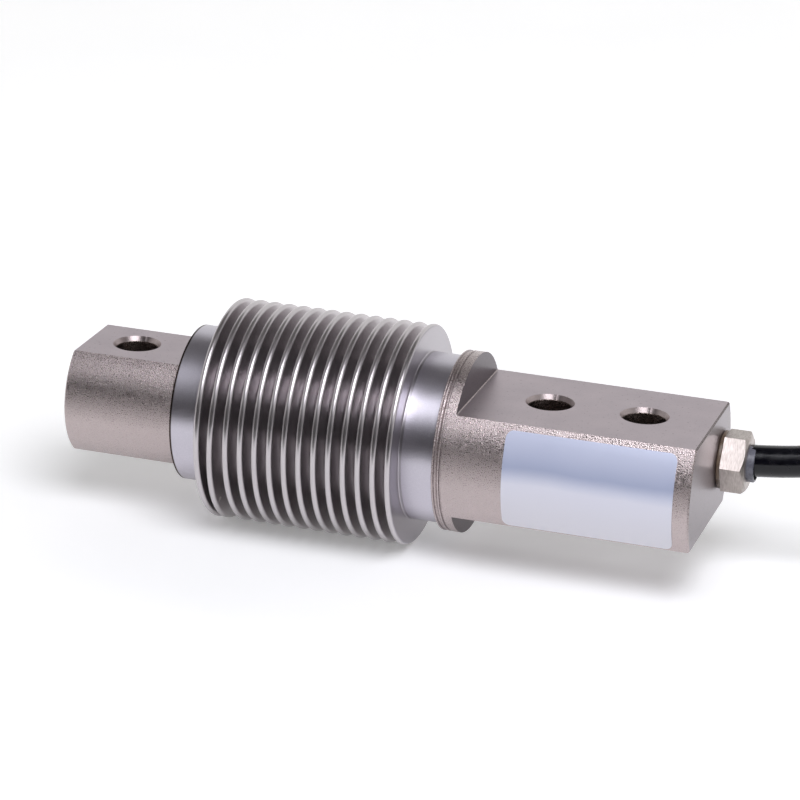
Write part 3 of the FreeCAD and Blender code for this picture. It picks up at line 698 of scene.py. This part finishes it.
def dress_metals():
    """The plain metals: the hex screw, the washers, the fine wires and the tinned tips."""
    drawn_metal("plated_brass", (0.53, 0.48, 0.455), (0.39, 0.345, 0.32), 0.37,
                ["gland_screw"], scale=4500, stretch=(1.0, 0.2, 0.2), Anisotropic=0.4)
    drawn_metal("washer_brass", (0.78, 0.62, 0.34), (0.66, 0.50, 0.25), 0.3,
                ["gland_front_washer", "gland_rear_washer"])
    drawn_metal("copper_wire", (0.76, 0.42, 0.24), (0.62, 0.31, 0.16), 0.3,
                ["gauge_leads", "top_bridge_wires", "bottom_bridge_wires"])
    drawn_metal("tinned_copper", (0.75, 0.74, 0.72), (0.60, 0.59, 0.57), 0.3,
                ["lead_tips"])


def dress_plastics(cable):
    """Rubber and plastic of the gland, the cable, its ties and the parts inside the cell."""
    stations = [side + "_" + end for side in ("top", "bottom") for end in ("load", "mount")]
    soft_plastic("seal_rubber", (0.17, 0.12, 0.085), (0.10, 0.07, 0.05), 0.3,
                 ["gland_seal_ring", "gland_bush"])
    soft_plastic("collar_rubber", (0.17, 0.17, 0.205), (0.11, 0.11, 0.135), 0.3,
                 ["cable_collar"])
    soft_plastic("cable_jacket", (0.003, 0.003, 0.006), (0.001, 0.001, 0.003), 0.22,
                 [cable, "cable_in_gland"], relief=0.001 * MM, IOR=1.42)
    soft_plastic("tie_plastic", (0.03, 0.03, 0.03), (0.02, 0.02, 0.02), 0.45,
                 ["hank_tie_near", "hank_tie_far"])
    soft_plastic("gauge_film", (0.66, 0.40, 0.13), (0.52, 0.28, 0.08), 0.3,
                 ["gauge_" + station for station in stations])
    soft_plastic("terminal_strip", (0.48, 0.38, 0.21), (0.38, 0.29, 0.15), 0.45,
                 ["terminal_" + station for station in stations])
    soft_plastic("board_laminate", (0.08, 0.27, 0.14), (0.05, 0.20, 0.10), 0.4,
                 ["compensation_board"])
    soft_plastic("resistor_ceramic", (0.07, 0.07, 0.08), (0.04, 0.04, 0.05), 0.4,
                 ["zero_resistor", "span_resistor", "drift_resistor"])


def dress_wires():
    """Insulation of the cores and leads, and the sleeve on the shield's lead."""
    wires = {
        "red": ((0.60, 0.05, 0.04), (0.48, 0.03, 0.03)),
        "black": ((0.03, 0.03, 0.03), (0.02, 0.02, 0.02)),
        "green": ((0.05, 0.34, 0.10), (0.03, 0.25, 0.07)),
        "white": ((0.78, 0.77, 0.74), (0.68, 0.67, 0.64)),
    }
    for colour, (light, dark) in wires.items():
        soft_plastic("insulation_" + colour, light, dark, 0.35, ["core_" + colour, "lead_" + colour])
    soft_plastic("insulation_grey", (0.36, 0.36, 0.37), (0.28, 0.28, 0.29), 0.35, ["lead_shield"])


def dress_nodes(cable, bellows):
    """Every finish, on every node and piece."""
    plated_steel()
    bellows_steel(bellows)
    label_film()
    dress_metals()
    dress_plastics(cable)
    dress_wires()


def floor_paper():
    """White paper that shows as white to the eye and in reflections, under a light shadow of the object."""
    paper = Finish("floor_paper", Roughness=0.9, Emission_Color=(1.0, 1.0, 1.0, 1.0))
    path_kind = paper.nodes.new("ShaderNodeLightPath").outputs
    seen = paper.either(
        path_kind["Is Camera Ray"],
        path_kind["Is Glossy Ray"],
        path_kind["Is Transmission Ray"],
    )
    glow = paper.span(paper.distance(VIEW_MIDDLE), GLOW_START, GLOW_END, NEAR_GLOW, FAR_GLOW)
    paper.give(
        Base_Color=paper.mottle(paper.noise(PAPER_FIBRES), (0.92, 0.92, 0.92), (0.94, 0.94, 0.94)),
        Emission_Strength=paper.sum("MULTIPLY", seen, glow),
    )
    return paper.material


def card_cloth(name, light, dark):
    """Cloth of the cards that the metal reflects."""
    cloth = Finish(name, Roughness=0.9)
    cloth.give(Base_Color=cloth.mottle(cloth.noise(CLOTH_WEAVE), dark, light))
    return cloth.material


def make_sheet(name, corners, material):
    """A flat sheet of the studio, from its corners."""
    mesh = bpy.data.meshes.new(name)
    mesh.from_pydata(corners, [], [tuple(range(len(corners)))])
    sheet = bpy.data.objects.new(name, mesh)
    sheet.data.materials.append(material)
    bpy.context.collection.objects.link(sheet)
    return sheet


def level_sheet(name, half_width, front, back, height, material):
    """A level sheet of the studio, from its front edge to its back edge."""
    corners = [(-half_width, front), (half_width, front), (half_width, back), (-half_width, back)]
    return make_sheet(name, [(x, y, height) for x, y in corners], material)


def upright_sheet(name, half_width, front, top, material):
    """A sheet of the studio that stands on the floor."""
    corners = [(-half_width, FLOOR_HEIGHT), (half_width, FLOOR_HEIGHT), (half_width, top), (-half_width, top)]
    return make_sheet(name, [(x, front, z) for x, z in corners], material)


def make_cards():
    """A grey card overhead, a dark one behind the camera and a low dark one that only metal sees."""
    dark_cloth = card_cloth("dark_cloth", (0.05, 0.045, 0.045), (0.04, 0.035, 0.035))
    grey_cloth = card_cloth("grey_cloth", (0.21, 0.20, 0.20), (0.19, 0.18, 0.18))
    over = level_sheet("flag_over", CARD_HALF_WIDTH, CARD_FRONT, CARD_BACK, CARD_TOP, grey_cloth)
    front = upright_sheet("flag_front", CARD_HALF_WIDTH, CARD_FRONT, CARD_TOP, dark_cloth)
    low = upright_sheet("flag_low", LOW_CARD_HALF_WIDTH, LOW_CARD_FRONT, LOW_CARD_TOP, dark_cloth)
    for card in (over, front, low):
        card.visible_camera = False
    low.visible_diffuse = False
    low.visible_shadow = False


def make_key():
    """One soft box that faces the middle of the load cell."""
    lamp = bpy.data.lights.new("soft_box", "AREA")
    lamp.shape = "RECTANGLE"
    lamp.size, lamp.size_y = KEY_SIZE
    lamp.energy = KEY_POWER
    lamp.color = KEY_COLOUR
    holder = bpy.data.objects.new("soft_box", lamp)
    away = Vector(KEY_DIRECTION).normalized()
    holder.location = Vector(VIEW_MIDDLE) + away * KEY_DISTANCE
    holder.rotation_euler = away.to_track_quat("Z", "Y").to_euler()
    bpy.context.collection.objects.link(holder)


def make_studio():
    """White surroundings and floor, the cards that the metal reflects and one soft box."""
    world = bpy.data.worlds.new("studio")
    world.use_nodes = True
    surroundings = world.node_tree.nodes["Background"]
    surroundings.inputs["Color"].default_value = (1.0, 1.0, 1.0, 1.0)
    surroundings.inputs["Strength"].default_value = WORLD_STRENGTH
    bpy.context.scene.world = world
    level_sheet("floor", FLOOR_SIZE / 2, -FLOOR_SIZE / 2, FLOOR_SIZE / 2, FLOOR_HEIGHT, floor_paper())
    make_cards()
    make_key()


bpy.context.scene.view_settings.view_transform = "Standard"
make_camera()
dress_nodes(make_cable(), make_bellows())
make_studio()
